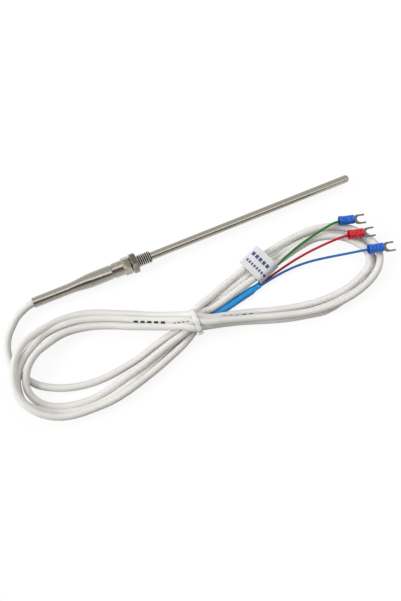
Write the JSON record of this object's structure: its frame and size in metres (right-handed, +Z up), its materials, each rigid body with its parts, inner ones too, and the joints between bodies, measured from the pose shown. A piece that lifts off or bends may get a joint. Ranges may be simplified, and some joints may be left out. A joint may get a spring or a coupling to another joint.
{
  "type": "rtd sensor",
  "caption": "Slim closed steel temperature probe with a threaded hexagon fitting, lock nut and tapered tail sleeve, on a tied hank of cable that ends in coloured wires with fork terminals.",
  "frame": {"origin": "on the probe's axis, in the face of the hexagon where the thread starts", "axes": "+X along the probe to its tip, +Z up from the surface that the sensor lies on"},
  "size_m": [0.2461, 0.0838, 0.0147],
  "materials": {
    "drawn_steel": "drawn stainless steel, fine satin",
    "turned_steel": "turned stainless steel, bright",
    "chip_ceramic": "alumina with a glazed film",
    "lead_metal": "drawn platinum-coated wire",
    "glass_sleeve": "woven glass fibre",
    "filler": "packed oxide powder",
    "tinned_copper": "tin plated copper",
    "resin": "cured epoxy",
    "cable_jacket": "smooth off-white jacket",
    "tie_nylon": "natural nylon",
    "blue_shrink": "shrunk polyolefin",
    "label_paper": "coated paper",
    "green_insulation": "extruded wire insulation",
    "red_insulation": "extruded wire insulation",
    "blue_insulation": "extruded wire insulation",
    "blue_vinyl": "moulded vinyl",
    "red_vinyl": "moulded vinyl"
  },
  "bodies": {
    "sensor": {"probe_tube": "drawn_steel", "threaded_fitting": "turned_steel", "tail_sleeve": "drawn_steel", "sensing_element": "chip_ceramic", "element_leads": "lead_metal", "insulating_sleeve": "glass_sleeve", "tip_filler": "filler", "splice_ferrules": "tinned_copper", "tail_potting": "resin", "cable_root": "cable_jacket", "cable_lead": "cable_jacket", "cable_hank": "cable_jacket", "cable_end": "cable_jacket", "cable_tie": "tie_nylon", "heat_shrink": "blue_shrink", "wire_label": "label_paper", "inner_lead_green": "green_insulation", "core_end_green": "green_insulation", "green_wire": "green_insulation", "insulator_green": "blue_vinyl", "fork_green": "tinned_copper", "inner_lead_red": "red_insulation", "core_end_red": "red_insulation", "red_wire": "red_insulation", "insulator_red": "red_vinyl", "fork_red": "tinned_copper", "inner_lead_blue": "blue_insulation", "core_end_blue": "blue_insulation", "blue_wire": "blue_insulation", "insulator_blue": "blue_vinyl", "fork_blue": "tinned_copper"},
    "nut": {"lock_nut": "turned_steel"}
  },
  "joints": [
    {"name": "nut_travel", "type": "slide", "parent": "sensor", "child": "nut", "axis": [1, 0, 0], "range_m": [0, 0.0085]}
  ]
}
